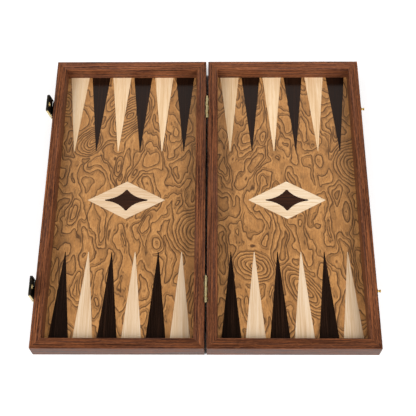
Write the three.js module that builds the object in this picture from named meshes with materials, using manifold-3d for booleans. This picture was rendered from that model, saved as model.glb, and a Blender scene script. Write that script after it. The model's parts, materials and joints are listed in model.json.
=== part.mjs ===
// Folding backgammon case, open flat on a table: two shallow inlaid wooden trays joined by a pair
// of butt hinges, with two hasps on the left tray that hook over two studs on the right one.
// Millimetres, +Z up, table top at Z = 0, hinge axis along Y.

import * as THREE from 'three';
import { mergeVertices } from 'three/addons/utils/BufferGeometryUtils.js';
import Module from 'manifold-3d';

// ---- Driving dimensions ----------------------------------------------------------------------

const DEPTH = 480;               // along the hinge line
const HALF_WIDTH = 240;          // one tray, across the hinge line
const HEIGHT = 34;               // one tray
const SEAM = 1.6;                // from the hinge line to each tray's face
const RAIL_WIDTH = 15.2;
const BASE_THICKNESS = 6;
const FIELD_THICKNESS = 5;
const RABBET = 6;                // how far the base board runs under the rails
const ROUND_OVER = 7;            // bottom edges on the three outer sides
const HINGE_EDGE = 1.5;          // bottom edge on the hinge side
const TOP_EDGE = 0.8;            // eased top edges
const CORNER_EDGE = 1;           // eased upright corners
const GLUE_LINE = 0.05;          // room left in a glued joint
const PANEL_GAP = 0.1;           // room left round a panel
const EDGE_STEPS = 6;            // facets in a quarter round

// Inlays
const INLAY_DEPTH = 0.6;
const INLAY_GAP = 0.08;
const POINTS_PER_ROW = 6;
const POINT_MARGIN = 2.2;        // from the side rails to the first pitch
const POINT_WIDTH = 29.4;
const POINT_HEIGHT = 139;
const POINT_TIP = 0.9;
const DIAMOND = { halfWidth: 58.6, halfHeight: 31.9 };
const STAR = { halfWidth: 32.3, halfHeight: 17.6, arm: 1.1 };

// Hinges and latches stand at the same two places along the hinge line.
const HARDWARE_Y = 153;
const ROUND_STEPS = 20;          // facets round a barrel, pin or stud

// Butt hinges
const FOLD_RISE = 0.15;          // hinge axis above the rim, so that the closed rims clear
const HINGE_LENGTH = 40;
const BARREL_RADIUS = 1.6;
const PIN_RADIUS = 0.85;
const PIN_HEAD = { hinge: 1.3, hasp: 1.2, height: 0.5 };   // radii, and how far a head stands out
const BORE_RADIUS = 0.92;
const KNUCKLES = 5;
const KNUCKLE_GAP = 0.2;
const LEAF_THICKNESS = 1;
const LEAF_DROP = 14;            // how far a leaf reaches below the rim
const LEAF_TOP = 2.3;            // leaf's top edge below the rim
const MORTISE_DEPTH = 1.5;
const MORTISE_CLEARANCE = 0.3;

// Hasps
const HASP_AXIS = { out: 2.4, drop: 10 };    // from the tray's wall, and below its rim
const HASP_TILT = { back: 11, front: 3 };    // degrees outwards from upright
const HASP = { width: 30, length: 24, sheet: 0.9, face: 1.8, start: 3 };
const HASP_KNUCKLE = { radius: 1.5, half: 7.5 };
const EYELET = { bore: 2.7, collar: 3.3, bead: 3.9, flange: 4.4, end: 1.4 };
const EYELET_GAP = 0.1;          // between the eyelet and the hasp's sheet
const HASP_PLATE_DROP = 12;      // how far the fixed plate reaches below the hasp's axis

// Studs
const STUD_DROP = 7.5;           // below the rim
const STUD_REACH = 6;            // out from the wall
const ROSETTE = { radius: 5, thickness: 0.85, bore: 1.7 };
const STUD_SHANK = 1.6;

// With the case shut the two rims are twice FOLD_RISE apart, and each hasp's eyelet meets a stud.
const EYELET_HEIGHT = HASP_AXIS.drop + 2 * FOLD_RISE + STUD_DROP;

// Both sides of the case reach the same distance from the origin.
const WIDEST_TILT = THREE.MathUtils.degToRad(Math.max(HASP_TILT.back, HASP_TILT.front));
const HASP_REACH = HASP_AXIS.out + HASP.face * Math.cos(WIDEST_TILT) + HASP.length * Math.sin(WIDEST_TILT);
const ORIGIN_SHIFT = (HASP_REACH - STUD_REACH) / 2;

const FIELD_TOP = BASE_THICKNESS + FIELD_THICKNESS;
const OVERSHOOT = 2;             // how far a cutting tool runs past the wood or metal

// ---- Materials -------------------------------------------------------------------------------

const finish = (color, roughness, metalness = 0) =>
  new THREE.MeshStandardMaterial({ color, roughness, metalness });
const MATERIALS = {
  walnut: finish(0x6c4230, 0.45),
  burl: finish(0xb08048, 0.4),
  underside: finish(0x9a6b3c, 0.45),
  maple: finish(0xe8cda5, 0.42),
  wenge: finish(0x281a15, 0.42),
  brass: finish(0xc8b070, 0.3, 1),
  bronze: finish(0x2c2a26, 0.4, 1),
};

// ---- Solids ----------------------------------------------------------------------------------

const wasm = await Module();
wasm.setup();

/** A closed three.js geometry as a solid that can be cut and joined. */
function solid(geometry) {
  const bare = geometry.clone();
  bare.deleteAttribute('normal');
  bare.deleteAttribute('uv');
  const merged = mergeVertices(bare, 1e-4);
  return new wasm.Manifold(new wasm.Mesh({
    numProp: 3,
    vertProperties: new Float32Array(merged.attributes.position.array),
    triVerts: new Uint32Array(merged.index.array),
  }));
}

/** The solid's surface as a three.js geometry. */
function surface(body) {
  const mesh = body.getMesh();
  const geometry = new THREE.BufferGeometry();
  geometry.setAttribute('position', new THREE.BufferAttribute(mesh.vertProperties, mesh.numProp));
  geometry.setIndex(new THREE.BufferAttribute(mesh.triVerts, 1));
  geometry.computeVertexNormals();
  return geometry;
}

/** A box between two corners. */
function block(low, high) {
  const size = high.map((value, axis) => value - low[axis]);
  const middle = high.map((value, axis) => (value + low[axis]) / 2);
  return new THREE.BoxGeometry(...size).translate(...middle);
}

/** A rod along Y, centred on the origin. */
const rod = (radius, length) => new THREE.CylinderGeometry(radius, radius, length, ROUND_STEPS);

/** A turned shape about X, from a profile of radius against distance along X. */
function turned(profile) {
  const points = profile.map(([r, out]) => new THREE.Vector2(r, out));
  return new THREE.LatheGeometry(points, ROUND_STEPS).rotateZ(-Math.PI / 2);
}

const outline = (points) => new THREE.Shape(points.map(([x, y]) => new THREE.Vector2(x, y)));

/** An outline extruded upwards from the given height. */
function plate(shape, bottom, thickness) {
  const options = { depth: thickness, bevelEnabled: false, curveSegments: EDGE_STEPS };
  return new THREE.ExtrudeGeometry(shape, options).translate(0, 0, bottom);
}

/** A rectangle whose corners are rounded, counter-clockwise from the lower left one. */
function roundedRectangle(x0, y0, x1, y1, [r0, r1, r2, r3]) {
  const quarter = Math.PI / 2;
  const shape = new THREE.Shape();
  shape.absarc(x0 + r0, y0 + r0, r0, 2 * quarter, 3 * quarter);
  shape.absarc(x1 - r1, y0 + r1, r1, 3 * quarter, 4 * quarter);
  shape.absarc(x1 - r2, y1 - r2, r2, 0, quarter);
  shape.absarc(x0 + r3, y1 - r3, r3, quarter, 2 * quarter);
  return shape;
}

/** A convex or gently curved outline, every side moved outwards by the gap. */
function outset(points, gap) {
  const count = points.length;
  const sides = points.map(([x, y], i) => {
    const [nextX, nextY] = points[(i + 1) % count];
    const length = Math.hypot(nextX - x, nextY - y);
    const normal = [(nextY - y) / length, (x - nextX) / length];
    return { normal, offset: normal[0] * x + normal[1] * y + gap };
  });
  return sides.map((side, i) => {
    const before = sides[(i + count - 1) % count];
    const cross = before.normal[0] * side.normal[1] - before.normal[1] * side.normal[0];
    return [
      (before.offset * side.normal[1] - side.offset * before.normal[1]) / cross,
      (side.offset * before.normal[0] - before.offset * side.normal[0]) / cross,
    ];
  });
}

function part(name, geometry, material) {
  const mesh = new THREE.Mesh(geometry, material);
  mesh.name = name;
  return mesh;
}

// ---- Trays -----------------------------------------------------------------------------------
// A tray stands in its own group: X = 0 is its hinge-side face, and side is -1 or 1, the way that
// the tray runs from there.

const ALONG_X = new THREE.Matrix4().makeBasis(
  new THREE.Vector3(0, 1, 0), new THREE.Vector3(0, 0, 1), new THREE.Vector3(1, 0, 0));
const ALONG_Y = new THREE.Matrix4().makeBasis(
  new THREE.Vector3(1, 0, 0), new THREE.Vector3(0, 0, 1), new THREE.Vector3(0, -1, 0));

/** The tray's outside, as the router leaves it: rounded below, eased above and at the corners. */
function trayEnvelope(side) {
  const inner = 0;
  const outer = side * HALF_WIDTH;
  const [x0, x1] = [Math.min(inner, outer), Math.max(inner, outer)];
  const bottomRadii = side < 0 ? [ROUND_OVER, HINGE_EDGE] : [HINGE_EDGE, ROUND_OVER];
  const across = roundedRectangle(x0, 0, x1, HEIGHT, [...bottomRadii, TOP_EDGE, TOP_EDGE]);
  const along = roundedRectangle(-DEPTH / 2, 0, DEPTH / 2, HEIGHT,
    [ROUND_OVER, ROUND_OVER, TOP_EDGE, TOP_EDGE]);
  const plan = roundedRectangle(x0, -DEPTH / 2, x1, DEPTH / 2, Array(4).fill(CORNER_EDGE));
  const acrossBody = plate(across, -DEPTH / 2 - OVERSHOOT, DEPTH + 2 * OVERSHOOT).applyMatrix4(ALONG_Y);
  const alongBody = plate(along, x0 - OVERSHOOT, x1 - x0 + 2 * OVERSHOOT).applyMatrix4(ALONG_X);
  const planBody = plate(plan, -OVERSHOOT, HEIGHT + 2 * OVERSHOOT);
  return solid(acrossBody).intersect(solid(alongBody)).intersect(solid(planBody));
}

/**
 * A rail with mitred ends, its outer face along X at Y = 0 and its inner face towards +Y. It has
 * the base board's rabbet below and an eased inner edge above, and overshoots outwards and down
 * for the envelope to trim.
 */
function mitredRail(length) {
  const foot = RAIL_WIDTH - RABBET;
  const shoulder = BASE_THICKNESS + GLUE_LINE;
  const profile = new THREE.Shape();
  profile.moveTo(-OVERSHOOT, -OVERSHOOT);
  profile.lineTo(foot, -OVERSHOOT);
  profile.lineTo(foot, shoulder);
  profile.lineTo(RAIL_WIDTH, shoulder);
  profile.absarc(RAIL_WIDTH - TOP_EDGE, HEIGHT - TOP_EDGE, TOP_EDGE, 0, Math.PI / 2);
  profile.lineTo(-OVERSHOOT, HEIGHT);
  const geometry = plate(profile, 0, length);
  const position = geometry.attributes.position;
  for (let i = 0; i < position.count; i += 1) {
    const inset = position.getX(i) + GLUE_LINE;
    position.setZ(i, position.getZ(i) > length / 2 ? length - inset : inset);
  }
  return geometry.translate(0, 0, -length / 2).applyMatrix4(ALONG_X);
}

/** The slots in a hinge rail's face that take the hinge leaves, open at the rim. */
function mortises(side) {
  const halfLength = HINGE_LENGTH / 2 + MORTISE_CLEARANCE;
  const [x0, x1] = [side * MORTISE_DEPTH, -side * OVERSHOOT].sort((a, b) => a - b);
  const bottom = HEIGHT - LEAF_DROP - MORTISE_CLEARANCE;
  return [-HARDWARE_Y, HARDWARE_Y].map((y) => solid(
    block([x0, y - halfLength, bottom], [x1, y + halfLength, HEIGHT + OVERSHOOT])));
}

function rails(name, side) {
  const envelope = trayEnvelope(side);
  const middle = side * HALF_WIDTH / 2;
  const trim = (geometry) => solid(geometry).intersect(envelope);
  const front = mitredRail(HALF_WIDTH).translate(middle, -DEPTH / 2, 0);
  const back = mitredRail(HALF_WIDTH).rotateZ(Math.PI).translate(middle, DEPTH / 2, 0);
  const outer = mitredRail(DEPTH).rotateZ(side * Math.PI / 2).translate(side * HALF_WIDTH, 0, 0);
  const hinge = mitredRail(DEPTH).rotateZ(-side * Math.PI / 2);
  const mortised = mortises(side).reduce((body, slot) => body.subtract(slot), trim(hinge));
  return [
    part(`${name}_front_rail`, surface(trim(front)), MATERIALS.walnut),
    part(`${name}_back_rail`, surface(trim(back)), MATERIALS.walnut),
    part(`${name}_outer_rail`, surface(trim(outer)), MATERIALS.walnut),
    part(`${name}_hinge_rail`, surface(mortised), MATERIALS.walnut),
  ];
}

/** A board that fills the tray's inside, or runs past it by the overlap, from one height to another. */
function board(side, overlap, bottom, top) {
  const edge = RAIL_WIDTH - overlap + PANEL_GAP;
  const [x0, x1] = [side * edge, side * (HALF_WIDTH - edge)].sort((a, b) => a - b);
  return block([x0, edge - DEPTH / 2, bottom], [x1, DEPTH / 2 - edge, top]);
}

const pointOutline = (centre, row) => {
  const edge = row * (DEPTH / 2 - RAIL_WIDTH - PANEL_GAP);
  const tip = edge - row * POINT_HEIGHT;
  return [
    [centre + row * POINT_WIDTH / 2, edge],
    [centre - row * POINT_WIDTH / 2, edge],
    [centre - row * POINT_TIP / 2, tip],
    [centre + row * POINT_TIP / 2, tip],
  ];
};

function diamondOutline(centre) {
  const { halfWidth, halfHeight } = DIAMOND;
  return [[centre - halfWidth, 0], [centre, -halfHeight], [centre + halfWidth, 0], [centre, halfHeight]];
}

/** A four-pointed star with hollow sides, thin blunt arms along X and corners along Y. */
function starOutline(centre) {
  const { halfWidth, halfHeight, arm } = STAR;
  const quadrant = new THREE.QuadraticBezierCurve(
    new THREE.Vector2(halfWidth - arm, arm),
    new THREE.Vector2(0.35 * halfWidth, 0.2 * halfHeight),
    new THREE.Vector2(arm, halfHeight)).getPoints(8);
  const rightTip = [[halfWidth - 0.3 * arm, 0.7 * arm], [halfWidth, 0]];
  const upperRight = [...quadrant.map(({ x, y }) => [x, y])].reverse().concat(rightTip);
  const lowerRight = upperRight.slice(0, -1).reverse().map(([x, y]) => [x, -y]);
  const right = upperRight.concat(lowerRight);
  const left = right.map(([x, y]) => [-x, -y]);
  return right.concat(left).map(([x, y]) => [centre + x, y]).reverse();
}

function inlays(name, side) {
  const middle = side * HALF_WIDTH / 2;
  const bottom = FIELD_TOP - INLAY_DEPTH;
  const inlay = (label, shape, material) =>
    part(`${name}_${label}`, plate(shape, bottom, INLAY_DEPTH), material);
  const pitch = (HALF_WIDTH - 2 * RAIL_WIDTH - 2 * POINT_MARGIN) / POINTS_PER_ROW;
  const outlines = [];
  const meshes = [];
  for (const [rowName, row] of [['back', 1], ['front', -1]]) {
    for (let i = 0; i < POINTS_PER_ROW; i += 1) {
      const points = pointOutline(middle + pitch * (i - (POINTS_PER_ROW - 1) / 2), row);
      const light = (i % 2 === 0) === (row > 0);
      const wood = light ? MATERIALS.maple : MATERIALS.wenge;
      outlines.push(points);
      meshes.push(inlay(`${rowName}_point_${i + 1}`, outline(points), wood));
    }
  }
  const diamond = outline(diamondOutline(middle));
  diamond.holes.push(outline(outset(starOutline(middle), INLAY_GAP).reverse()));
  outlines.push(diamondOutline(middle));
  meshes.push(inlay('diamond', diamond, MATERIALS.maple));
  meshes.push(inlay('star', outline(starOutline(middle)), MATERIALS.wenge));
  return { outlines, meshes };
}

/** The playing surface, with a shallow pocket under each inlay. */
function playfield(side, outlines) {
  const bottom = FIELD_TOP - INLAY_DEPTH - GLUE_LINE;
  return outlines.reduce((body, points) => {
    const pocket = plate(outline(outset(points, INLAY_GAP)), bottom, INLAY_DEPTH + OVERSHOOT);
    return body.subtract(solid(pocket));
  }, solid(board(side, 0, BASE_THICKNESS + GLUE_LINE, FIELD_TOP)));
}

function tray(name, side) {
  const group = new THREE.Group();
  const { outlines, meshes } = inlays(name, side);
  group.add(
    ...rails(name, side),
    part(`${name}_base_panel`, board(side, RABBET, 0, BASE_THICKNESS), MATERIALS.underside),
    part(`${name}_playfield`, surface(playfield(side, outlines)), MATERIALS.burl),
    ...meshes,
  );
  group.position.x = side * SEAM;
  return group;
}

// ---- Hinges ----------------------------------------------------------------------------------
// A hinge stands in its own group, whose origin is the middle of its barrel.

function hingeLeaf(side) {
  const pitch = HINGE_LENGTH / KNUCKLES;
  const leafOut = SEAM + MORTISE_DEPTH - GLUE_LINE;
  const box = (u0, u1, y0, y1, z0, z1) => {
    const [x0, x1] = [side * u0, side * u1].sort((a, b) => a - b);
    return solid(block([x0, y0, z0], [x1, y1, z1]));
  };
  const rim = -FOLD_RISE;
  const half = HINGE_LENGTH / 2;
  const leafIn = leafOut - LEAF_THICKNESS;
  const shoulder = rim - LEAF_TOP - 0.9 * LEAF_THICKNESS;
  // The crank that runs from the leaf's top edge up into a knuckle, clear of the pin's bore.
  const crank = outline([
    [0.45 * BARREL_RADIUS, -BARREL_RADIUS], [leafIn, shoulder], [leafOut, shoulder],
    [leafOut, rim - LEAF_TOP], [0.78 * BARREL_RADIUS, -0.6 * BARREL_RADIUS],
    [0.45 * BARREL_RADIUS, -0.62 * BARREL_RADIUS],
  ].map(([u, z]) => [side * u, z]));
  let body = box(leafIn, leafOut, -half, half, rim - LEAF_DROP, rim - LEAF_TOP);
  for (let i = side < 0 ? 0 : 1; i < KNUCKLES; i += 2) {
    const y = -half + pitch * (i + 0.5);
    const halfKnuckle = (pitch - KNUCKLE_GAP) / 2;
    const web = plate(crank, -halfKnuckle, 2 * halfKnuckle).applyMatrix4(ALONG_Y).translate(0, y, 0);
    body = body.add(solid(rod(BARREL_RADIUS, 2 * halfKnuckle).translate(0, y, 0))).add(solid(web));
  }
  return surface(body.subtract(solid(rod(BORE_RADIUS, HINGE_LENGTH + OVERSHOOT))));
}

/** A pin along Y with a low round head at each end. */
function headedPin(length, headRadius) {
  const end = length / 2 + KNUCKLE_GAP / 2;
  const half = [
    [PIN_RADIUS, end],
    [headRadius, end],
    [headRadius, end + 0.6 * PIN_HEAD.height],
    [0.6 * headRadius, end + PIN_HEAD.height],
    [0, end + PIN_HEAD.height],
  ];
  const otherHalf = half.map(([r, y]) => [r, -y]).reverse();
  const points = otherHalf.concat(half).map(([r, y]) => new THREE.Vector2(r, y));
  return new THREE.LatheGeometry(points, ROUND_STEPS);
}

function hinge(name, y) {
  const group = new THREE.Group();
  group.add(
    part(`${name}_left_leaf`, hingeLeaf(-1), MATERIALS.brass),
    part(`${name}_right_leaf`, hingeLeaf(1), MATERIALS.brass),
    part(`${name}_pin`, headedPin(HINGE_LENGTH, PIN_HEAD.hinge), MATERIALS.brass),
  );
  group.position.set(0, y, HEIGHT + FOLD_RISE);
  return group;
}

// ---- Hasps -----------------------------------------------------------------------------------
// A hasp's group has its origin on the hasp's axis. The tray's wall is on the +X side, and the
// hasp's sheet is modelled standing straight up from the axis.

function haspSheet() {
  const half = HASP.width / 2;
  const inside = HASP.sheet - HASP.face;
  const rim = half - HASP.sheet;
  const knuckle = HASP_KNUCKLE.half - KNUCKLE_GAP / 2;
  const pan = solid(block([-HASP.face, -half, HASP.start], [HASP.face, half, HASP.length]));
  const hollow = solid(block([inside, -rim, 0], [HASP.face + OVERSHOOT, rim, HASP.length - HASP.sheet]));
  const lip = solid(block([-HASP.face, -half, 2], [inside, half, HASP.start + 1]));
  const tongue = solid(block([-HASP.face, -knuckle, 0], [inside, knuckle, HASP.start]));
  const barrel = solid(rod(HASP_KNUCKLE.radius, 2 * knuckle));
  const bore = solid(rod(BORE_RADIUS, HASP.width + OVERSHOOT));
  const hole = rod(EYELET.collar + EYELET_GAP, 4 * HASP.face).rotateZ(Math.PI / 2)
    .translate(0, 0, EYELET_HEIGHT);
  const body = pan.subtract(hollow).add(lip).add(tongue).add(barrel);
  return surface(body.subtract(bore).subtract(solid(hole)));
}

/** A brass ring spread over both faces of the sheet, its collar running on towards the wall. */
function eyelet() {
  const { bore, collar, bead, flange, end } = EYELET;
  const outside = -HASP.face - EYELET_GAP;
  const inside = HASP.sheet - HASP.face + EYELET_GAP;
  const face = outside - 0.3;
  return turned([
    [bore, face], [flange - 0.2, face], [flange, face + 0.2], [flange, outside], [collar, outside],
    [collar, inside], [bead, inside], [bead, inside + 0.4], [collar, inside + 0.5],
    [collar, end], [bore, end], [bore, face],
  ]).translate(0, 0, EYELET_HEIGHT);
}

/** The plate nailed to the tray's wall, with a knuckle at each end of its top edge. */
function haspPlate() {
  const half = HASP.width / 2;
  const wall = HASP_AXIS.out - GLUE_LINE;
  const below = HASP_KNUCKLE.radius + 0.5;      // the plate's top edge, under the axis
  let body = solid(block([wall - HASP.sheet, -half, -HASP_PLATE_DROP], [wall, half, -below]));
  for (const end of [-1, 1]) {
    const [y0, y1] = [end * HASP_KNUCKLE.half + end * KNUCKLE_GAP / 2, end * half].sort((a, b) => a - b);
    const tab = solid(block([wall - 2 * HASP.sheet, y0, -below - 0.1], [wall, y1, 0]));
    const barrel = solid(rod(HASP_KNUCKLE.radius, y1 - y0).translate(0, (y0 + y1) / 2, 0));
    body = body.add(tab).add(barrel);
  }
  return surface(body.subtract(solid(rod(BORE_RADIUS, HASP.width + OVERSHOOT))));
}

function hasp(name, y, tilt) {
  const group = new THREE.Group();
  const swinging = new THREE.Group();
  swinging.rotation.y = -THREE.MathUtils.degToRad(tilt);
  swinging.add(
    part(name, haspSheet(), MATERIALS.bronze),
    part(`${name}_eyelet`, eyelet(), MATERIALS.brass),
  );
  group.add(
    part(`${name}_plate`, haspPlate(), MATERIALS.bronze),
    swinging,
    part(`${name}_pin`, headedPin(HASP.width, PIN_HEAD.hasp), MATERIALS.brass),
  );
  group.position.set(-SEAM - HALF_WIDTH - HASP_AXIS.out, y, HEIGHT - HASP_AXIS.drop);
  return group;
}

// ---- Studs -----------------------------------------------------------------------------------

function stud(name, y) {
  const group = new THREE.Group();
  const { radius, thickness, bore } = ROSETTE;
  const plateProfile = [[bore, GLUE_LINE], [radius, GLUE_LINE], [radius, 0.5], [radius - 0.4, thickness],
    [bore, thickness], [bore, GLUE_LINE]];
  const seat = thickness + GLUE_LINE;
  const studProfile = [[0, GLUE_LINE], [STUD_SHANK, GLUE_LINE], [STUD_SHANK, seat], [2.5, seat], [2.5, 1.5],
    [1.7, 2.1], [1.5, 3.9], [2, 4.5], [2.25, 5], [1.9, 5.6], [1, 5.95], [0, STUD_REACH]];
  group.add(
    part(`${name}_plate`, turned(plateProfile), MATERIALS.bronze),
    part(`${name}_knob`, turned(studProfile), MATERIALS.brass),
  );
  group.position.set(SEAM + HALF_WIDTH, y, HEIGHT - STUD_DROP);
  return group;
}

// ---- Assembly --------------------------------------------------------------------------------

const backgammonCase = new THREE.Group();
backgammonCase.add(tray('left', -1), tray('right', 1));
for (const [name, y] of [['back', HARDWARE_Y], ['front', -HARDWARE_Y]]) {
  backgammonCase.add(
    hinge(`${name}_hinge`, y),
    hasp(`${name}_hasp`, y, HASP_TILT[name]),
    stud(`${name}_strike`, y),
  );
}
backgammonCase.position.x = ORIGIN_SHIFT;

export default backgammonCase;
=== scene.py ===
"""Folding backgammon case, open flat: materials, hardware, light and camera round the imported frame."""

import json
import math

import bmesh
import bpy
from mathutils import Matrix, Vector


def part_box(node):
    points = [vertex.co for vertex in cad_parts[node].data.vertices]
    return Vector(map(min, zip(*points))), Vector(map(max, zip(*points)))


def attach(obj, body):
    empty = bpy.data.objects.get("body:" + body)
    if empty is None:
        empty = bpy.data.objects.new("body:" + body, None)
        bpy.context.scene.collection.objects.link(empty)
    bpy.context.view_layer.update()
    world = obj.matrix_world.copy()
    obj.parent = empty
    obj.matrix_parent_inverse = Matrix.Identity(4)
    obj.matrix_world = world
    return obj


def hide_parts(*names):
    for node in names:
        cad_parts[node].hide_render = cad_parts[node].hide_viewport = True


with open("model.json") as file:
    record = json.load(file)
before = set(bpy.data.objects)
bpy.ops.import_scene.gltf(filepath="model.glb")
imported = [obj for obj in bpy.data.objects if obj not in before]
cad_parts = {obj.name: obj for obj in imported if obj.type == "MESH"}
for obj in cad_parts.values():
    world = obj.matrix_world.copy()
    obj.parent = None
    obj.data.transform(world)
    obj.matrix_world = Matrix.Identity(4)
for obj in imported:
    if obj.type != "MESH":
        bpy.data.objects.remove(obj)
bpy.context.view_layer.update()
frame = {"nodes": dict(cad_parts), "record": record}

MM = 0.001
NODES = frame["nodes"]
SIDES = ("left", "right")
ENDS = ("back", "front")

# ---- Camera ----------------------------------------------------------------------------------

CAMERA_PLACE = Vector((19.5, -597.2, 1163.5)) * MM
CAMERA_PITCH = math.radians(63.13)     # below the horizon
CAMERA_HEADING = math.radians(-1.56)   # clockwise from +Y
CAMERA_ROLL = math.radians(-1.41)
SENSOR = 36.0
LENS = 74.24


def make_camera():
    data = bpy.data.cameras.new("camera")
    data.sensor_width = SENSOR
    data.lens = LENS
    camera = bpy.data.objects.new("camera", data)
    bpy.context.scene.collection.objects.link(camera)
    turn = Matrix.Rotation(-CAMERA_HEADING, 4, "Z")
    turn @= Matrix.Rotation(math.pi / 2 - CAMERA_PITCH, 4, "X")
    turn @= Matrix.Rotation(CAMERA_ROLL, 4, "Z")
    camera.matrix_world = Matrix.Translation(CAMERA_PLACE) @ turn
    bpy.context.scene.camera = camera


# ---- Node graphs -----------------------------------------------------------------------------


# The light shows a white surface this much brighter than white. Colours are given as they look,
# so they are darkened by as much.
EXPOSURE = 1.2


def linear(colour):
    """A colour as it looks, in sRGB from 0 to 255, as the linear RGBA that shaders take."""
    parts = [part / 255 for part in colour]
    curve = [part / 12.92 if part <= 0.04045 else ((part + 0.055) / 1.055) ** 2.4 for part in parts]
    return (*(part / EXPOSURE for part in curve), 1.0)


class Graph:
    """Short ways to write a node tree. Lengths are in millimetres."""

    def __init__(self, tree):
        self.tree = tree
        tree.nodes.clear()

    def add(self, kind, inputs=(), **settings):
        node = self.tree.nodes.new(kind)
        for name, value in settings.items():
            setattr(node, name, value)
        for key, value in dict(inputs).items():
            if isinstance(value, bpy.types.NodeSocket):
                self.tree.links.new(value, node.inputs[key])
            else:
                node.inputs[key].default_value = value
        return node

    def point(self):
        """The place on the object, in millimetres."""
        coordinates = self.add("ShaderNodeTexCoord")
        return self.vector("MULTIPLY", coordinates.outputs["Object"], (1 / MM,) * 3)

    def math(self, operation, a, b=0.0, c=0.0):
        return self.add("ShaderNodeMath", {0: a, 1: b, 2: c}, operation=operation).outputs[0]

    def vector(self, operation, a, b=(0.0, 0.0, 0.0)):
        node = self.add("ShaderNodeVectorMath", {0: a, 1: b}, operation=operation)
        return node.outputs["Value" if operation in ("DOT_PRODUCT", "LENGTH") else "Vector"]

    def noise(self, point, size=1.0, detail=2.0, roughness=0.5, output="Fac"):
        inputs = {"Vector": point, "Scale": 1 / size, "Detail": detail, "Roughness": roughness}
        return self.add("ShaderNodeTexNoise", inputs).outputs[output]

    def stretched(self, point, sizes, **settings):
        """Noise whose blobs have the given size along each axis."""
        return self.noise(self.vector("DIVIDE", point, sizes), **settings)

    def step(self, value, low, high, start=0.0, end=1.0):
        """A smooth step from start at low to end at high."""
        inputs = {"Value": value, "From Min": low, "From Max": high, "To Min": start, "To Max": end}
        return self.add("ShaderNodeMapRange", inputs, interpolation_type="SMOOTHSTEP").outputs[0]

    def ramp(self, value, *stops):
        """Colours along a value: each stop is (place, sRGB colour)."""
        node = self.add("ShaderNodeValToRGB", {0: value})
        elements = node.color_ramp.elements
        while len(elements) < len(stops):
            elements.new(1.0)
        for element, (place, colour) in zip(elements, stops):
            element.position = place
            element.color = linear(colour)
        return node.outputs[0]

    def mix(self, factor, a, b, blend="MIX"):
        node = self.add("ShaderNodeMix", {"Factor": factor}, data_type="RGBA", blend_type=blend)
        for name, value in (("A", a), ("B", b)):
            socket = next(s for s in node.inputs if s.name == name and s.type == "RGBA")
            if isinstance(value, bpy.types.NodeSocket):
                self.tree.links.new(value, socket)
            else:
                socket.default_value = linear(value)
        return next(s for s in node.outputs if s.type == "RGBA")

    def finish(self, colour, roughness, height, **shader):
        """The shader: height is the relief in millimetres, and shader holds its other inputs."""
        bump = self.add("ShaderNodeBump", {"Height": height, "Distance": MM, "Strength": 1.0})
        inputs = {"Base Color": colour, "Roughness": roughness, "Normal": bump.outputs[0]}
        inputs.update({name.replace("_", " "): value for name, value in shader.items()})
        surface = self.add("ShaderNodeBsdfPrincipled", inputs)
        self.add("ShaderNodeOutputMaterial", {"Surface": surface.outputs[0]})


def new_material(name):
    material = bpy.data.materials.new(name)
    material.use_nodes = True
    return material, Graph(material.node_tree)


# ---- Woods -----------------------------------------------------------------------------------

# The finish on each wood: lacquered burl, oiled walnut, satin maple and polished wenge. All but the
# wenge reflect less than bare lacquer would, and what maple and wenge reflect is warm.
LACQUER = {"Coat_Weight": 0.05, "Coat_Roughness": 0.15, "Specular_IOR_Level": 0.4}
OILED = {"Specular_IOR_Level": 0.14}
SATIN = {"Specular_IOR_Level": 0.22, "Specular_Tint": (1.0, 0.86, 0.7, 1.0)}
POLISHED = {"Specular_IOR_Level": 0.5, "Specular_Tint": (1.0, 0.79, 0.71, 1.0)}

# The large figures of each burl: place, half width and half length in millimetres, turn in
# degrees, and the number of rings that they raise.
LEFT_FIGURES = (
    (-177, 106, 24, 40, -50, 7), (-122, 150, 30, 58, -35, 8), (-224, 174, 14, 24, 0, 4),
    (-12, -52, 42, 46, -20, 8), (-73, -73, 12, 18, 10, 2), (-136, 60, 7, 20, -10, 2),
)
RIGHT_FIGURES = (
    (230, 61, 38, 42, 0, 7), (175, 68, 11, 24, 10, 2), (71, -110, 30, 36, 60, 6),
    (148, -150, 24, 56, 38, 6), (88, 112, 8, 20, -10, 2), (211, -19, 11, 32, 0, -2),
)
# The ring count that the burl's waves lie round, away from the figures.
MIDDLE_RING = 5.5
SLOPE_STEP = 0.35    # how far apart, in millimetres, the rings' slope is measured
SECOND_LINE = 3.4    # the distance, in millimetres, of the faint line beside each ring line


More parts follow.
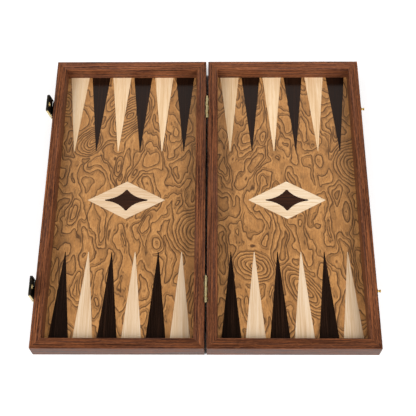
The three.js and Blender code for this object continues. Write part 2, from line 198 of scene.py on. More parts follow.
def burl_rings(name, seed, figures):
    """A node group that gives, at a point, how many growth rings the veneer's cut has passed."""
    group = bpy.data.node_groups.new(name, "ShaderNodeTree")
    group.interface.new_socket("Point", in_out="INPUT", socket_type="NodeSocketVector")
    group.interface.new_socket("Rings", in_out="OUTPUT", socket_type="NodeSocketFloat")
    g = Graph(group)
    point = g.add("NodeGroupInput").outputs[0]
    seeded = g.vector("ADD", point, seed)

    def wander(sizes, reach, detail):
        swirl = g.stretched(seeded, sizes, detail=detail, roughness=0.55, output="Color")
        return g.vector("MULTIPLY", g.vector("SUBTRACT", swirl, (0.5,) * 3), reach)

    drift = wander((34, 60, 34), (30, 44, 0), 1)
    ripple = wander((11, 20, 11), (9, 13, 0), 1.4)
    moved = g.vector("ADD", point, g.vector("ADD", drift, ripple))
    broad = g.stretched(g.vector("ADD", moved, seed), (30, 74, 30), detail=1, roughness=0.4)
    rings = g.math("MULTIPLY", broad, 2 * MIDDLE_RING)
    gentle = g.vector("ADD", point, g.vector("MULTIPLY", drift, (0.35,) * 3))
    gentle = g.vector("ADD", gentle, g.vector("MULTIPLY", ripple, (0.45,) * 3))
    for x, y, width, length, turn, rise in figures:
        c, s = math.cos(math.radians(turn)), math.sin(math.radians(turn))
        away = g.vector("SUBTRACT", gentle, (x, y, 0))
        u = g.vector("DOT_PRODUCT", away, (c / width, s / width, 0))
        v = g.vector("DOT_PRODUCT", away, (-s / length, c / length, 0))
        spread = g.math("MULTIPLY_ADD", v, v, g.math("MULTIPLY", u, u))
        reach = g.math("SQRT", spread)
        knot = g.math("MULTIPLY_ADD", reach, -rise, MIDDLE_RING + rise)
        hold = g.step(reach, 0.7, 1.3, 1.0, 0.0)
        rings = g.math("MULTIPLY_ADD", hold, g.math("SUBTRACT", knot, rings), rings)
    g.add("NodeGroupOutput", {0: rings})
    return group


def burl(name, seed, figures, shade=(268, 260, 244)):
    """Burl veneer: dark ring lines round eyes and waves, on honey-brown wood with grey smudges."""
    material, g = new_material(name)
    point = g.point()
    flat = g.vector("MULTIPLY", point, (1, 1, 0))
    group = burl_rings(name + "_rings", seed, figures)

    def rings_at(offset):
        node = g.add("ShaderNodeGroup", node_tree=group)
        g.tree.links.new(g.vector("ADD", flat, offset), node.inputs[0])
        return node.outputs[0]

    here = rings_at((0, 0, 0))
    slopes = [g.math("DIVIDE", g.math("SUBTRACT", rings_at(offset), here), SLOPE_STEP)
              for offset in ((SLOPE_STEP, 0, 0), (0, SLOPE_STEP, 0))]
    slope = g.math("SQRT", g.math("MULTIPLY_ADD", slopes[0], slopes[0],
                                  g.math("MULTIPLY", slopes[1], slopes[1])))
    slope = g.math("MAXIMUM", slope, 0.03)
    phase = g.math("FRACT", here)
    away = g.math("DIVIDE", g.math("SUBTRACT", phase, 0.5), slope)
    seeded = g.vector("ADD", flat, seed)
    width = g.step(g.noise(seeded, 15, detail=2), 0.35, 0.65, 0.75, 1.25)
    distance = g.math("DIVIDE", g.math("ABSOLUTE", away), width)
    line = g.step(distance, 0.3, 1.35, 1.0, 0.0)
    strength = g.step(g.noise(seeded, 13, detail=3, roughness=0.6), 0.34, 0.54, 0.6, 1.0)
    line = g.math("MULTIPLY", line, strength)
    second = g.math("ABSOLUTE", g.math("ADD", away, SECOND_LINE))
    faint = g.step(g.noise(g.vector("ADD", seeded, (0, 0, 60)), 24, detail=2), 0.44, 0.6, 0.0, 0.75)
    second = g.math("MULTIPLY", g.step(second, 0.2, 1.2, 1.0, 0.0), faint)
    line = g.math("MAXIMUM", line, second)
    glow = g.math("MULTIPLY", g.step(away, 0.8, 2.0), g.step(away, 2.4, 5.5, 1.0, 0.0))
    shadow = g.math("MULTIPLY", g.step(away, -6.5, -0.8), g.step(away, -0.4, 0.6, 1.0, 0.0))

    tone = g.stretched(seeded, (26, 50, 26), detail=4, roughness=0.6)
    wood = g.ramp(tone, (0.30, (168, 120, 74)), (0.46, (194, 141, 88)), (0.58, (206, 151, 95)),
                  (0.74, (218, 163, 104)))
    wood = g.mix(g.math("MULTIPLY", glow, 0.5), wood, (226, 171, 113))
    wood = g.mix(g.math("MULTIPLY", shadow, 0.42), wood, (132, 98, 64))
    smudge = g.stretched(g.vector("ADD", seeded, (90, 0, 0)), (9, 20, 9), detail=3, roughness=0.6)
    smudge = g.step(smudge, 0.54, 0.74)
    wood = g.mix(g.math("MULTIPLY", smudge, 0.55), wood, (118, 92, 64))
    mottle = g.stretched(seeded, (2.4, 4.2, 1), detail=3, roughness=0.65)
    wood = g.mix(g.step(mottle, 0.44, 0.64, 0.0, 0.3), wood, (140, 104, 66))
    fibre = g.stretched(seeded, (1.5, 22, 1), detail=3, roughness=0.7)
    wood = g.mix(g.step(fibre, 0.38, 0.66, 0.0, 0.42), wood, (138, 96, 60))
    fleck = g.stretched(g.vector("ADD", seeded, (0, 70, 0)), (1.9, 3.2, 1), detail=1, roughness=0.5)
    wood = g.mix(g.step(fleck, 0.66, 0.76, 0.0, 0.75), wood, (96, 62, 40))
    colour = g.mix(g.math("MULTIPLY", line, 0.85), wood, (78, 52, 36))
    colour = g.mix(1.0, colour, shade, "MULTIPLY")

    height = g.math("MULTIPLY", g.math("ADD", fibre, line), -0.012)
    roughness = g.step(fibre, 0.3, 0.7, 0.25, 0.36)
    g.finish(colour, roughness, height, **LACQUER)
    return material


def grained(point, g, along):
    """The point with the grain along its first axis."""
    axes = {"x": (0, 1, 2), "y": (1, 0, 2)}[along]
    parts = g.add("ShaderNodeSeparateXYZ", {0: point}).outputs
    return g.add("ShaderNodeCombineXYZ", {i: parts[axis] for i, axis in enumerate(axes)}).outputs[0]


def walnut(name, along, seed, shade):
    """Straight-grained walnut, its rings and pores running along the rail."""
    material, g = new_material(name)
    point = g.vector("ADD", grained(g.point(), g, along), seed)
    sway = g.math("MULTIPLY", g.stretched(point, (90, 14, 14), detail=2), 9)
    parts = g.add("ShaderNodeSeparateXYZ", {0: point}).outputs
    across = g.math("ADD", g.math("MULTIPLY_ADD", parts[2], 0.45, parts[1]), sway)
    rings = g.math("SINE", g.math("MULTIPLY", across, 1.7))
    streak = g.stretched(point, (80, 1.9, 1.9), detail=3, roughness=0.62)
    value = g.math("MULTIPLY_ADD", rings, 0.07, streak)
    wood = g.ramp(value, (0.28, (50, 27, 18)), (0.42, (88, 50, 32)), (0.52, (114, 68, 43)),
                  (0.62, (140, 84, 52)), (0.76, (172, 106, 66)))
    mauve = g.step(g.stretched(g.vector("ADD", point, (0, 40, 0)), (120, 2.6, 2.6), detail=2), 0.5, 0.64)
    wood = g.mix(g.math("MULTIPLY", mauve, 0.4), wood, (98, 70, 64))
    fleck = g.step(g.stretched(g.vector("ADD", point, (0, 0, 60)), (7, 0.8, 0.8), detail=2), 0.52, 0.66)
    wood = g.mix(g.math("MULTIPLY", fleck, 0.4), wood, (176, 112, 72))
    pores = g.step(g.stretched(point, (7, 0.6, 0.6), detail=2, roughness=0.6), 0.52, 0.66)
    wood = g.mix(g.math("MULTIPLY", pores, 0.6), wood, (48, 26, 18))
    # The shade sets the tone; on the rails it also holds painted shade and painted light.
    wood = g.mix(1.0, wood, shade, "MULTIPLY")
    height = g.math("MULTIPLY_ADD", pores, -0.03, g.math("MULTIPLY", streak, 0.015))
    roughness = g.step(streak, 0.3, 0.7, 0.34, 0.48)
    g.finish(wood, roughness, height, **OILED)
    return material


def maple(name, along, seed, wave, shade):
    """Pale veneer with fine warm stripes; wave is how far they wander, in millimetres."""
    material, g = new_material(name)
    point = g.vector("ADD", grained(g.point(), g, along), seed)
    sway = g.vector("MULTIPLY", g.stretched(point, (26, 20, 20), detail=2, output="Color"), (0, wave, 0))
    point = g.vector("ADD", point, sway)
    stripe = g.stretched(point, (90, 1.1, 2), detail=3, roughness=0.6)
    broad = g.stretched(point, (120, 7, 7), detail=2)
    value = g.math("MULTIPLY_ADD", broad, 0.3, g.math("MULTIPLY", stripe, 0.7))
    wood = g.ramp(value, (0.34, (204, 166, 124)), (0.45, (222, 189, 150)), (0.55, (232, 204, 169)),
                  (0.68, (239, 216, 186)))
    ray = g.step(g.stretched(g.vector("ADD", point, (0, 9, 0)), (14, 0.6, 1), detail=2), 0.54, 0.66)
    wood = g.mix(g.math("MULTIPLY", ray, 0.3), wood, (206, 158, 108))
    # The shade sets the tone; for the back points it is lighter, as painted light.
    wood = g.mix(1.0, wood, shade, "MULTIPLY")
    height = g.math("MULTIPLY", stripe, 0.012)
    roughness = g.step(stripe, 0.3, 0.7, 0.36, 0.25)
    g.finish(wood, roughness, height, **SATIN)
    return material


def wenge(name, along, seed, shade):
    """Nearly black veneer with fine brown stripes and open pores."""
    material, g = new_material(name)
    point = g.vector("ADD", grained(g.point(), g, along), seed)
    stripe = g.stretched(point, (80, 0.7, 2), detail=3, roughness=0.65)
    wood = g.ramp(stripe, (0.34, (13, 7, 3)), (0.5, (27, 15, 8)), (0.62, (45, 27, 15)),
                  (0.75, (74, 46, 27)))
    pores = g.step(g.stretched(point, (6, 0.3, 1), detail=2), 0.58, 0.68)
    wood = g.mix(g.math("MULTIPLY", pores, 0.5), wood, (10, 6, 5))
    wood = g.mix(1.0, wood, shade, "MULTIPLY")
    height = g.math("MULTIPLY_ADD", pores, -0.01, g.math("MULTIPLY", stripe, 0.006))
    roughness = g.step(stripe, 0.3, 0.7, 0.17, 0.26)
    g.finish(wood, roughness, height, **POLISHED)
    return material


# ---- Metals ----------------------------------------------------------------------------------


def brass(name, clean, tarnished):
    """Brass with fine scratches and a little tarnish."""
    material, g = new_material(name)
    point = g.point()
    tarnish = g.step(g.noise(point, 3.5, detail=4, roughness=0.65), 0.46, 0.76)
    colour = g.mix(tarnish, clean, tarnished)
    scratch = g.stretched(point, (0.12, 2.5, 0.12), detail=2)
    roughness = g.math("MULTIPLY_ADD", tarnish, 0.14, g.step(scratch, 0.4, 0.7, 0.3, 0.44))
    g.finish(colour, roughness, g.math("MULTIPLY", scratch, 0.006), Metallic=1.0)
    return material


def aged_bronze():
    """Blackened bronze, brown where the blacking is thin."""
    material, g = new_material("aged_bronze")
    point = g.point()
    worn = g.step(g.noise(point, 2.2, detail=5, roughness=0.7), 0.5, 0.78)
    colour = g.mix(worn, (40, 37, 33), (120, 96, 58))
    grain = g.noise(point, 0.5, detail=3)
    roughness = g.step(grain, 0.35, 0.7, 0.34, 0.52)
    g.finish(colour, roughness, g.math("MULTIPLY", grain, 0.02), Metallic=0.85)
    return material


# ---- Materials on the CAD nodes --------------------------------------------------------------

SMOOTH_ANGLE = math.radians(32)
WELD_DISTANCE = 0.002


def smooth_group():
    """A modifier that shades smoothly wherever two faces meet at a small angle."""
    group = bpy.data.node_groups.new("smooth_by_angle", "GeometryNodeTree")
    group.interface.new_socket("Geometry", in_out="INPUT", socket_type="NodeSocketGeometry")
    group.interface.new_socket("Geometry", in_out="OUTPUT", socket_type="NodeSocketGeometry")
    g = Graph(group)
    source = g.add("NodeGroupInput").outputs[0]
    bare = g.add("GeometryNodeRemoveAttribute", {"Geometry": source, "Name": "custom_normal"})
    faces = g.add("GeometryNodeSetShadeSmooth", {"Geometry": bare.outputs[0]}, domain="FACE")
    angle = g.add("GeometryNodeInputMeshEdgeAngle").outputs["Unsigned Angle"]
    sharp = g.add("FunctionNodeCompare", {0: angle, 1: SMOOTH_ANGLE}, operation="GREATER_THAN")
    edges = g.add("GeometryNodeSetShadeSmooth", {
        "Geometry": faces.outputs[0], "Selection": sharp.outputs[0], "Shade Smooth": False,
    }, domain="EDGE")
    g.add("NodeGroupOutput", {0: edges.outputs[0]})
    return group


def dress(node, material, smoothing):
    """Gives a CAD node its material and smooth round faces; its mesh stays as it is."""
    obj = NODES[node]
    obj.material_slots[0].link = "OBJECT"
    obj.material_slots[0].material = material
    weld = obj.modifiers.new("weld", "WELD")
    weld.merge_threshold = WELD_DISTANCE * MM
    shading = obj.modifiers.new("shading", "NODES")
    shading.node_group = smoothing


def dress_trays():
    smoothing = smooth_group()
    # Each rail's walnut is a board with a tone of its own, and its shade also holds painted light:
    # darker on the front rail as painted shade, lighter on the back rail as painted light.
    rail_woods = {
        "front": walnut("walnut_front_painted_shade", "x", (0, 0, 0), (232, 221, 206)),
        "back": walnut("walnut_back_painted_light", "x", (310, 57, 23), (294, 290, 288)),
        "outer": walnut("walnut_outer", "y", (120, 31, 91), (260, 252, 240)),
        "hinge": walnut("walnut_hinge", "y", (530, 77, 11), (250, 246, 242)),
    }
    underside = burl("burl_underside", (800, 350, 0), (), (225, 215, 205))
    figures = {"left": LEFT_FIGURES, "right": RIGHT_FIGURES}
    seeds = {"left": (13, 57, 0), "right": (441, 209, 0)}
    # The back points' maple is the front points' maple made lighter, as painted light.
    light = {
        "back": maple("maple_back_painted_light", "y", (0, 0, 0), 1.5, (289, 285, 278)),
        "front": maple("maple_front", "y", (0, 0, 0), 1.5, (272, 273, 277)),
    }
    pale = {
        "left": maple("maple_left_diamond", "x", (70, 20, 0), 9, (274, 273, 275)),
        "right": maple("maple_right_diamond", "x", (70, 20, 0), 9, (289, 297, 307)),
    }
    dark = wenge("wenge_points", "y", (0, 0, 0), (255, 245, 238))
    deep = wenge("wenge_star", "x", (40, 90, 0), (400, 350, 310))
    for side in SIDES:
        for rail, wood in rail_woods.items():
            dress(f"{side}_{rail}_rail", wood, smoothing)
        dress(f"{side}_base_panel", underside, smoothing)
        dress(f"{side}_playfield", burl(f"burl_{side}", seeds[side], figures[side]), smoothing)
        dress(f"{side}_diamond", pale[side], smoothing)
        dress(f"{side}_star", deep, smoothing)
    slots = {s["node"]: s["material_slot"] for s in frame["record"]["subparts"]}
    for node, slot in slots.items():
        if "_point_" in node:
            row = node.split("_")[1]
            dress(node, light[row] if slot == "light_inlay" else dark, smoothing)


# ---- Solids for the hardware -----------------------------------------------------------------
# Fittings are modelled in millimetres, each in its own frame.

ROUND_STEPS = 36
ARC_STEPS = 6
BURR = 0.12          # rounding along the edges of sheet metal


def at(axis, u, v, height):
    """A point from its height along an axis and its place across that axis."""
    return {"x": (height, u, v), "y": (u, height, v), "z": (u, v, height)}[axis]


def arc(centre, radius, start, end):
    """Points along an arc, its angles in degrees."""
    turns = [math.radians(start + (end - start) * i / ARC_STEPS) for i in range(ARC_STEPS + 1)]
    return [(centre[0] + radius * math.cos(turn), centre[1] + radius * math.sin(turn)) for turn in turns]


def rounded_rectangle(low, high, bottom, top):
    """A rectangle's outline; bottom and top are the radii of its lower and upper corners."""
    (u0, v0), (u1, v1) = low, high
    corners = ((u1 - bottom, v0 + bottom, bottom), (u1 - top, v1 - top, top),
               (u0 + top, v1 - top, top), (u0 + bottom, v0 + bottom, bottom))
    points = []
    for i, (u, v, radius) in enumerate(corners):
        points += arc((u, v), radius, 90 * (i - 1), 90 * i)
    return points


def prism(outline, axis, start, end, start_edge=BURR, end_edge=BURR):
    """A solid with one outline across an axis, its end faces' edges rounded."""
    mesh = bmesh.new()
    ends = [[mesh.verts.new(at(axis, u, v, height)) for u, v in outline] for height in (start, end)]
    faces = [mesh.faces.new(ring) for ring in ends]
    for i in range(len(outline)):
        mesh.faces.new([ends[0][i - 1], ends[0][i], ends[1][i], ends[1][i - 1]])
    bmesh.ops.recalc_face_normals(mesh, faces=mesh.faces)
    for face, rounding in zip(faces, (start_edge, end_edge)):
        bmesh.ops.bevel(mesh, geom=list(face.edges), offset=rounding, segments=3, profile=0.5,
                        affect="EDGES", clamp_overlap=False)
    return mesh


def turned(profile, axis, hollow=False):
    """A solid of revolution from (radius, height) points; a hollow one has a closed profile."""
    mesh = bmesh.new()
    rings = []
    for radius, height in profile:
        turns = [2 * math.pi * i / ROUND_STEPS for i in range(ROUND_STEPS if radius else 1)]
        rings.append([mesh.verts.new(at(axis, radius * math.cos(turn), radius * math.sin(turn), height))
                      for turn in turns])
    if hollow:
        pairs = zip(rings, rings[-1:] + rings[:-1])
    else:
        pairs = zip(rings[1:], rings)
    for a, b in pairs:
        for i in range(ROUND_STEPS):
            corners = (a[i % len(a)], a[(i + 1) % ROUND_STEPS % len(a)],
                       b[(i + 1) % ROUND_STEPS % len(b)], b[i % len(b)])
            mesh.faces.new(list(dict.fromkeys(corners)))
    bmesh.ops.recalc_face_normals(mesh, faces=mesh.faces)
    return mesh


def smooth_through(points, steps):
    """More points on a smooth curve through the given ones."""
    ends = [points[0], *points, points[-1]]
    curve = []
    for a, b, c, d in zip(ends, ends[1:], ends[2:], ends[3:]):
        for i in range(steps):
            t = i / steps
            curve.append(tuple(
                q + 0.5 * t * (r - p + t * (2 * p - 5 * q + 4 * r - s + t * (3 * (q - r) + s - p)))
                for p, q, r, s in zip(a, b, c, d)))
    return [(max(radius, 0), height) for radius, height in curve + [points[-1]]]


def moved(mesh, offset):
    bmesh.ops.translate(mesh, verts=mesh.verts, vec=offset)
    return mesh


def scratch_object(mesh):
    """A solid as an object that the next one can be joined to or cut from."""
    data = bpy.data.meshes.new("solid")
    mesh.to_mesh(data)
    mesh.free()
    obj = bpy.data.objects.new("solid", data)
    bpy.context.scene.collection.objects.link(obj)
    return obj


def combined(solids, cuts=(), added=()):
    """One mesh: the solids joined, the cuts taken out of them, and then the added solids joined."""
    body, *others = [scratch_object(mesh) for mesh in solids]
    tools = [("UNION", other) for other in others]
    tools += [("DIFFERENCE", scratch_object(mesh)) for mesh in cuts]
    tools += [("UNION", scratch_object(mesh)) for mesh in added]
    for operation, tool in tools:
        modifier = body.modifiers.new("tool", "BOOLEAN")
        modifier.operation = operation
        modifier.object = tool
    graph = bpy.context.evaluated_depsgraph_get()
    data = bpy.data.meshes.new_from_object(body.evaluated_get(graph), depsgraph=graph)
    for obj in (body, *(tool for _, tool in tools)):
        spare = obj.data
        bpy.data.objects.remove(obj)
        bpy.data.meshes.remove(spare)
    return data


def fitting(name, data, place, body, materials, stands_for=None, pick=None):
    """A finished piece; pick, if given, chooses the material of each face from its centre."""
    data.transform(Matrix.Scale(MM, 4))
    data.materials.clear()
    for material in materials:
        data.materials.append(material)
    for face in data.polygons:
        face.material_index = pick(face.center / MM) if pick else 0
    data.shade_smooth()
    data.set_sharp_from_angle(angle=SMOOTH_ANGLE)
    piece = bpy.data.objects.new(name, data)
    bpy.context.scene.collection.objects.link(piece)
    piece.matrix_world = place
    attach(piece, body)
    if stands_for:
        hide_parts(stands_for)
    return piece


# ---- Hinges ----------------------------------------------------------------------------------
# A hinge's frame has its origin in the middle of its barrel, which lies along Y. Barrel, bore and
# pin are radii, face is the leaf's near face, and top and bottom are the heights of its edges.

HINGE = {"length": 40, "knuckles": 5, "gap": 0.2, "barrel": 1.6, "bore": 0.92, "pin": 0.85,
         "face": 2.05, "sheet": 1.0, "top": -2.45, "bottom": -14.15}
SCREWS = ((-13, -7.6), (0, -9.6), (13, -7.6))     # place along the leaf, and height
SCREW = {"head": 1.75, "shank": 0.95, "slot": 0.36, "sunk": 0.06}
COUNTERSINK = SCREW["head"] + 0.05
HINGE_PIN_HEAD = 1.3


def ring(outer, bore, length):
    """A knuckle's tube along Y, centred on the origin."""
    half = length / 2
    profile = [(bore, -half), (outer - BURR, -half), (outer, BURR - half),
               (outer, half - BURR), (outer - BURR, half), (bore, half)]
    return turned(profile, "y", hollow=True)


def hinge_leaf(side):
    """A leaf's mesh: its plate with countersunk holes, and the knuckles rolled from its top edge."""
    radius, face, top = HINGE["barrel"], HINGE["face"], HINGE["top"]
    back = face + HINGE["sheet"]
    half = HINGE["length"] / 2
    plate = rounded_rectangle((-half, HINGE["bottom"]), (half, top), 1.2, 0.3)
    solids = [prism(plate, "x", *sorted((side * face, side * back)))]
    crank = [(0.45 * radius, -radius), (0.75 * face, top - 0.25), (face, top - 0.75), (face, top - 1.4),
             (back, top - 1.4), (back, top - 0.45), (0.93 * back, top), (0.9 * face, -0.85 * radius),
             (0.78 * radius, -0.6 * radius), (0.45 * radius, -0.65 * radius)]
    pitch = HINGE["length"] / HINGE["knuckles"]
    length = pitch - HINGE["gap"]
    for i in range(0 if side < 0 else 1, HINGE["knuckles"], 2):
        y = pitch * (i + 0.5) - half
        solids.append(moved(ring(radius, HINGE["bore"], length), (0, y, 0)))
        web = prism([(side * u, v) for u, v in crank], "y", y - length / 2, y + length / 2)
        solids.append(web)
    countersink = [(0, 0), (SCREW["shank"], 0), (SCREW["shank"], 0.5), (COUNTERSINK, 1.35),
                   (COUNTERSINK, 2), (0, 2)]
    cuts = []
    for y, z in SCREWS:
        hole = turned([(r, side * (back + 0.2 - h)) for r, h in countersink], "x")
        cuts.append(moved(hole, (0, y, z)))
    return combined(solids, cuts)


def screw_head(side, turn):
    """A countersunk screw's slotted head, its slot turned by an angle in degrees."""
    face = HINGE["face"] + SCREW["sunk"]
    profile = [(0, 0.85), (SCREW["shank"] - 0.1, 0.85), (SCREW["shank"] - 0.1, 0.75),
               (SCREW["head"] - 0.02, 0.06), (SCREW["head"] - 0.08, 0), (0.9, -0.1), (0, -0.13)]
    head = turned([(r, side * (face + h)) for r, h in profile], "x")
    groove = rounded_rectangle((-2.2, -SCREW["slot"] / 2), (2.2, SCREW["slot"] / 2), 0.05, 0.05)
    slot = prism(groove, "x", *sorted((side * (face + 0.3), side * (face - 0.5))), 0.01, 0.01)
    bmesh.ops.rotate(slot, verts=slot.verts, matrix=Matrix.Rotation(math.radians(turn), 3, "X"))
    return combined([head], [slot])


def pin(length, radius, head):
    """A pin along Y with a low round head at each end."""
    end = length / 2 + 0.1
    half = [(radius, end), (head, end), (head, end + 0.2), (0.86 * head, end + 0.36),
            (0.55 * head, end + 0.46), (0, end + 0.5)]
    profile = [(r, -y) for r, y in reversed(half)] + half
    return combined([turned(profile, "y")])


def make_hinges(metal):
    joints = frame["record"]["behaviour"]["joints"]
    axis = next(Vector(joint["pos_m"]) for joint in joints if joint["name"] == "case_fold")
    for end in ENDS:
        low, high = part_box(f"{end}_hinge_pin")
        place = Matrix.Translation((axis.x, (low.y + high.y) / 2, axis.z))
        for side, name in zip((-1, 1), SIDES):
            leaf = f"{end}_hinge_{name}_leaf"
            fitting(f"{leaf}_rolled", hinge_leaf(side), place, f"{name}_case", [metal], leaf)
            for i, (y, z) in enumerate(SCREWS):
                seat = place @ Matrix.Translation((0, y * MM, z * MM))
                slot_turn = 25 + 47 * i + 19 * side    # each slot stands at an angle of its own
                head = screw_head(side, slot_turn)
                fitting(f"{leaf}_screw_{i + 1}", head, seat, f"{name}_case", [metal])
        node = f"{end}_hinge_pin"
        shape = pin(HINGE["length"], HINGE["pin"], HINGE_PIN_HEAD)
        fitting(f"{node}_headed", shape, place, "left_case", [metal], node)


# ---- Hasps -----------------------------------------------------------------------------------
# A hasp's frame has its origin on its axis, which lies along Y; the tray's wall is on the +X side.
# Half is half its width, start is where its flanges begin, tongue is half the width that is rolled
# round the pin, wall is the wall's distance, and eyelet is the height of the hole for the eyelet.

HASP_TILT = {"back": 11, "front": 3}           # degrees outwards from upright, at rest
HASP = {"half": 15, "length": 24, "sheet": 0.9, "face": 1.8, "start": 4, "barrel": 1.5,
        "tongue": 7.4, "wall": 2.37, "plate": (-12, -2), "pin": 0.85, "eyelet": 17.8, "hole": 3.4}
NAIL = {"head": 1.3, "rise": 0.5, "y": 11, "z": -7}
HASP_PIN_HEAD = 1.2
# The hasp's bright faces are this near to its outermost planes, and this far below its top edge.
BRIGHT_DEPTH = 0.05
BRIGHT_BELOW = 0.3


def hasp_pan():
    """The swinging half: a shallow pan of bent sheet with a tongue rolled round the pin."""
    half, length, sheet, face = (HASP[key] for key in ("half", "length", "sheet", "face"))
    inner = sheet - face
    outside = rounded_rectangle((-half, 2.2), (half, length), 1.2, 2.2)
    inside = rounded_rectangle((sheet - half, -3), (half - sheet, length - sheet), 0.5, 1.4)
    start = rounded_rectangle((-half - 1, -3), (half + 1, HASP["start"]), 0.3, 0.3)
    curl = [(-face, 3.4), (-face, 1.4), (-1.74, 0.7), (-1.5, 0), (-1.15, -0.15), (-1.05, 0.75),
            (inner, 1.5), (inner, 3.4)]
    cuts = [
        prism(inside, "x", inner, face + 1, 0.35, 0.1),
        prism(start, "x", inner, face + 1, 0.1, 0.1),
        moved(turned([(0, -3), (HASP["hole"], -3), (HASP["hole"], 3), (0, 3)], "x"),
              (0, 0, HASP["eyelet"])),
    ]
    added = [
        prism(curl, "y", -HASP["tongue"], HASP["tongue"]),
        ring(HASP["barrel"], HINGE["bore"], 2 * HASP["tongue"]),
    ]
    return combined([prism(outside, "x", -face, face, 0.55, 0.2)], cuts, added)


def eyelet():
    """A brass ring spread over both faces of the hasp's sheet; the stud's head goes through it."""
    profile = [(2.7, -2.02), (2.9, -2.15), (3.6, -2.2), (4.15, -2.12), (4.4, -1.97), (4.35, -1.9),
               (3.3, -1.9), (3.3, -0.8), (3.7, -0.8), (3.9, -0.65), (3.85, -0.45), (3.6, -0.33),
               (3.3, -0.3), (3.3, 1.2), (3.2, 1.36), (3, 1.4), (2.8, 1.36), (2.7, 1.2)]
    return combined([moved(turned(profile, "x", hollow=True), (0, 0, HASP["eyelet"]))])


def hasp_plate():
    """The fixed half: a plate on the wall, with a knuckle rolled from each end of its top edge."""
    half, wall, sheet = HASP["half"], HASP["wall"], HASP["sheet"]
    low, high = HASP["plate"]
    radius, near = HASP["barrel"], HASP["tongue"] + HINGE["gap"]
    solids = [prism(rounded_rectangle((-half, low), (half, high), 2, 0.3), "x", wall - sheet, wall)]
    curl = [(wall - sheet, -2.5), (wall, -2.5), (wall, -1), (2.1, -0.1), (radius - 0.05, 0.45),
            (1.08, 0.1), (1.12, -0.6), (1.3, -1.3), (wall - sheet, -1.8)]
    for end in (-1, 1):
        y0, y1 = sorted((end * near, end * half))
        solids.append(prism(curl, "y", y0, y1))
        solids.append(moved(ring(radius, HINGE["bore"], y1 - y0), (0, (y0 + y1) / 2, 0)))
    return combined(solids)


def nail_head(radius, rise):
    """A domed nail head that stands on the plane across X at its origin, towards +X."""
    profile = [(0, -0.1), (0.8 * radius, -0.1), (radius, 0.06), (0.96 * radius, 0.35 * rise),
               (0.78 * radius, 0.7 * rise), (0.45 * radius, 0.93 * rise), (0, rise)]
    return combined([turned(smooth_through(profile, 2), "x")])


def make_hasps(metal, bronze):
    joints = {joint["child"]: joint for joint in frame["record"]["behaviour"]["joints"]}
    flange = HASP["half"] - BRIGHT_DEPTH
    front = -HASP["face"] + BRIGHT_DEPTH
    rim = HASP["length"] - BRIGHT_BELOW

    def polished(centre):
        """The faces that stay bright: the outside of the sheet and of its side flanges."""
        return int((abs(centre.y) > flange or centre.x < front) and centre.z < rim)

    for end in ENDS:
        place = Matrix.Translation(joints[f"{end}_hasp"]["pos_m"])
        tilted = place @ Matrix.Rotation(-math.radians(HASP_TILT[end]), 4, "Y")
        body = f"{end}_hasp"
        fitting(f"{body}_pan", hasp_pan(), tilted, body, [bronze, metal], body, polished)
        fitting(f"{body}_eyelet_ring", eyelet(), tilted, body, [metal], f"{body}_eyelet")
        plate = f"{body}_plate"
        fitting(f"{plate}_rolled", hasp_plate(), place, "left_case", [bronze], plate)
        for side, name in ((-1, "front"), (1, "back")):
            seat = Vector((HASP["wall"] - HASP["sheet"], side * NAIL["y"], NAIL["z"])) * MM
            turn = Matrix.Translation(seat) @ Matrix.Rotation(math.pi, 4, "Z")
            head = nail_head(NAIL["head"], NAIL["rise"])
            fitting(f"{plate}_{name}_nail", head, place @ turn, "left_case", [metal])
        node = f"{body}_pin"
        shape = pin(2 * HASP["half"], HASP["pin"], HASP_PIN_HEAD)
        fitting(f"{node}_headed", shape, place, "left_case", [metal], node)


# ---- Studs -----------------------------------------------------------------------------------
# A stud's frame has its origin on the right tray's wall, which faces +X.

WALL_GAP = 0.05      # between the wall and the rosette
ROSETTE_NAILS = {"out": 3.75, "height": 0.58, "head": 0.55, "rise": 0.28}


def rosette():
    """A round plate with a raised rim, and a raised ring round the hole for the stud."""
    profile = [(1.7, WALL_GAP), (4.9, WALL_GAP), (5, 0.18), (4.95, 0.5), (4.75, 0.74), (4.5, 0.8),
               (4.3, 0.68), (4.1, 0.58), (3.3, 0.56), (3.1, 0.66), (2.9, 0.82), (2.7, 0.85),
               (1.75, 0.85), (1.7, 0.8)]
    return combined([turned(profile, "x", hollow=True)])


def knob():
    """A turned stud: a flange on the rosette, a waisted neck and a round head."""
    foot = [(0, WALL_GAP), (1.6, WALL_GAP), (1.6, 0.9), (2.42, 0.9)]
    shape = [(2.5, 1), (2.48, 1.25), (2.2, 1.5), (1.75, 1.85), (1.5, 2.5), (1.46, 3.2), (1.6, 3.9),
             (1.98, 4.4), (2.22, 4.9), (2.2, 5.25), (1.9, 5.65), (1.2, 5.92), (0, 6)]
    return combined([turned(foot + smooth_through(shape, 3), "x")])


def make_studs(metal, bronze):
    for end in ENDS:
        node = f"{end}_strike_plate"
        low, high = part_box(node)
        middle = (low + high) / 2
        place = Matrix.Translation((low.x - WALL_GAP * MM, middle.y, middle.z))
        fitting(f"{node}_rosette", rosette(), place, "right_case", [bronze], node)
        for side, name in ((-1, "front"), (1, "back")):
            out = Vector((ROSETTE_NAILS["height"], side * ROSETTE_NAILS["out"], 0)) * MM
            seat = place @ Matrix.Translation(out)
            head = nail_head(ROSETTE_NAILS["head"], ROSETTE_NAILS["rise"])
            fitting(f"{node}_{name}_nail", head, seat, "right_case", [metal])
        stud = f"{end}_strike_knob"
        fitting(f"{stud}_turned", knob(), place, "right_case", [metal], stud)


# ---- Stage and light -------------------------------------------------------------------------

# The studio glows all round but for its ceiling, whose edge is given as the sines of two heights
# above the horizon.
ROOM_GLOW = 0.6
CEILING_GLOW = 0.01
CEILING_EDGE = (0.85, 0.90)
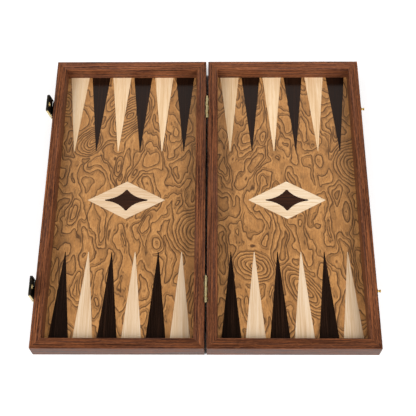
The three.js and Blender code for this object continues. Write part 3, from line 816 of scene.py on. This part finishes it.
# The two soft boxes stand before the case, one on each side. Lengths are in metres, the angles are
# in degrees, and the power is in watts.
SOFT_BOX = {"distance": 4.0, "height": 42, "side": 60, "size": (1.67, 2.67), "power": 117}
FLOOR_REACH = 30.0
FLOOR_GLOW = 0.46
# The table's glow is off within the left tray's outline, drawn this much wider on the seam's side, which
# paints shade there, and its glow rises between these two distances from that outline, in millimetres.
PAST_SEAM = 10
GLOW_EDGE = (-4, -1)


def make_floor():
    """A backlit white table whose glow is off under the left tray and the seam, a painted shade, so that
    the seam stays dark.
    """
    material, g = new_material("floor")
    point = g.point()
    grain = g.noise(point, 40, detail=3)
    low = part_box("left_outer_rail")[0] / MM
    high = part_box("left_hinge_rail")[1] / MM + Vector((PAST_SEAM, 0, 0))
    away = g.vector("ABSOLUTE", g.vector("SUBTRACT", point, (low + high) / 2))
    beyond = g.add("ShaderNodeSeparateXYZ", {0: g.vector("SUBTRACT", away, (high - low) / 2)}).outputs
    # Where this is low the table does not glow: painted shade under the left tray and the seam.
    outside = g.step(g.math("MAXIMUM", beyond[0], beyond[1]), *GLOW_EDGE)
    glow = g.math("MULTIPLY", outside, FLOOR_GLOW)
    colour = g.ramp(grain, (0.0, (228, 228, 228)), (1.0, (232, 232, 232)))
    g.finish(colour, 0.9, g.math("MULTIPLY", grain, 0.02), Specular_IOR_Level=0.1,
             Emission_Color=(1, 1, 1, 1), Emission_Strength=glow)
    mesh = bpy.data.meshes.new("floor")
    corners = [(x * FLOOR_REACH, y * FLOOR_REACH, 0) for x, y in ((-1, -1), (1, -1), (1, 1), (-1, 1))]
    mesh.from_pydata(corners, [], [(0, 1, 2, 3)])
    floor = bpy.data.objects.new("floor", mesh)
    mesh.materials.append(material)
    bpy.context.scene.collection.objects.link(floor)


def soft_box(name, side):
    """A large soft light; side is -1 for the left of the camera and 1 for its right."""
    data = bpy.data.lights.new(name, "AREA")
    data.shape = "RECTANGLE"
    data.size, data.size_y = SOFT_BOX["size"]
    data.energy = SOFT_BOX["power"]
    light = bpy.data.objects.new(name, data)
    bpy.context.scene.collection.objects.link(light)
    turn = side * math.radians(SOFT_BOX["side"])
    height = math.radians(SOFT_BOX["height"])
    level = Vector((math.sin(turn), -math.cos(turn), 0)) * math.cos(height)
    away = level + Vector((0, 0, math.sin(height)))
    light.location = away * SOFT_BOX["distance"]
    light.rotation_euler = away.to_track_quat("Z", "Y").to_euler()


def make_light():
    """Even light from all round, dark straight overhead, so that flat lacquer keeps its colour."""
    world = bpy.data.worlds.new("world")
    world.use_nodes = True
    g = Graph(world.node_tree)
    direction = g.add("ShaderNodeTexCoord").outputs["Generated"]
    height = g.vector("DOT_PRODUCT", direction, (0, 0, 1))
    strength = g.step(height, *CEILING_EDGE, ROOM_GLOW, CEILING_GLOW)
    background = g.add("ShaderNodeBackground", {"Color": (1, 1, 1, 1), "Strength": strength})
    g.add("ShaderNodeOutputWorld", {"Surface": background.outputs[0]})
    bpy.context.scene.world = world
    bpy.context.scene.view_settings.view_transform = "Standard"
    soft_box("left_soft_box", -1)
    soft_box("right_soft_box", 1)


make_camera()
dress_trays()
pale_brass = brass("pale_brass", (252, 232, 176), (196, 164, 98))
yellow_brass = brass("yellow_brass", (240, 200, 108), (176, 132, 62))
bronze = aged_bronze()
make_hinges(pale_brass)
make_hasps(pale_brass, bronze)
make_studs(yellow_brass, bronze)
make_floor()
make_light()
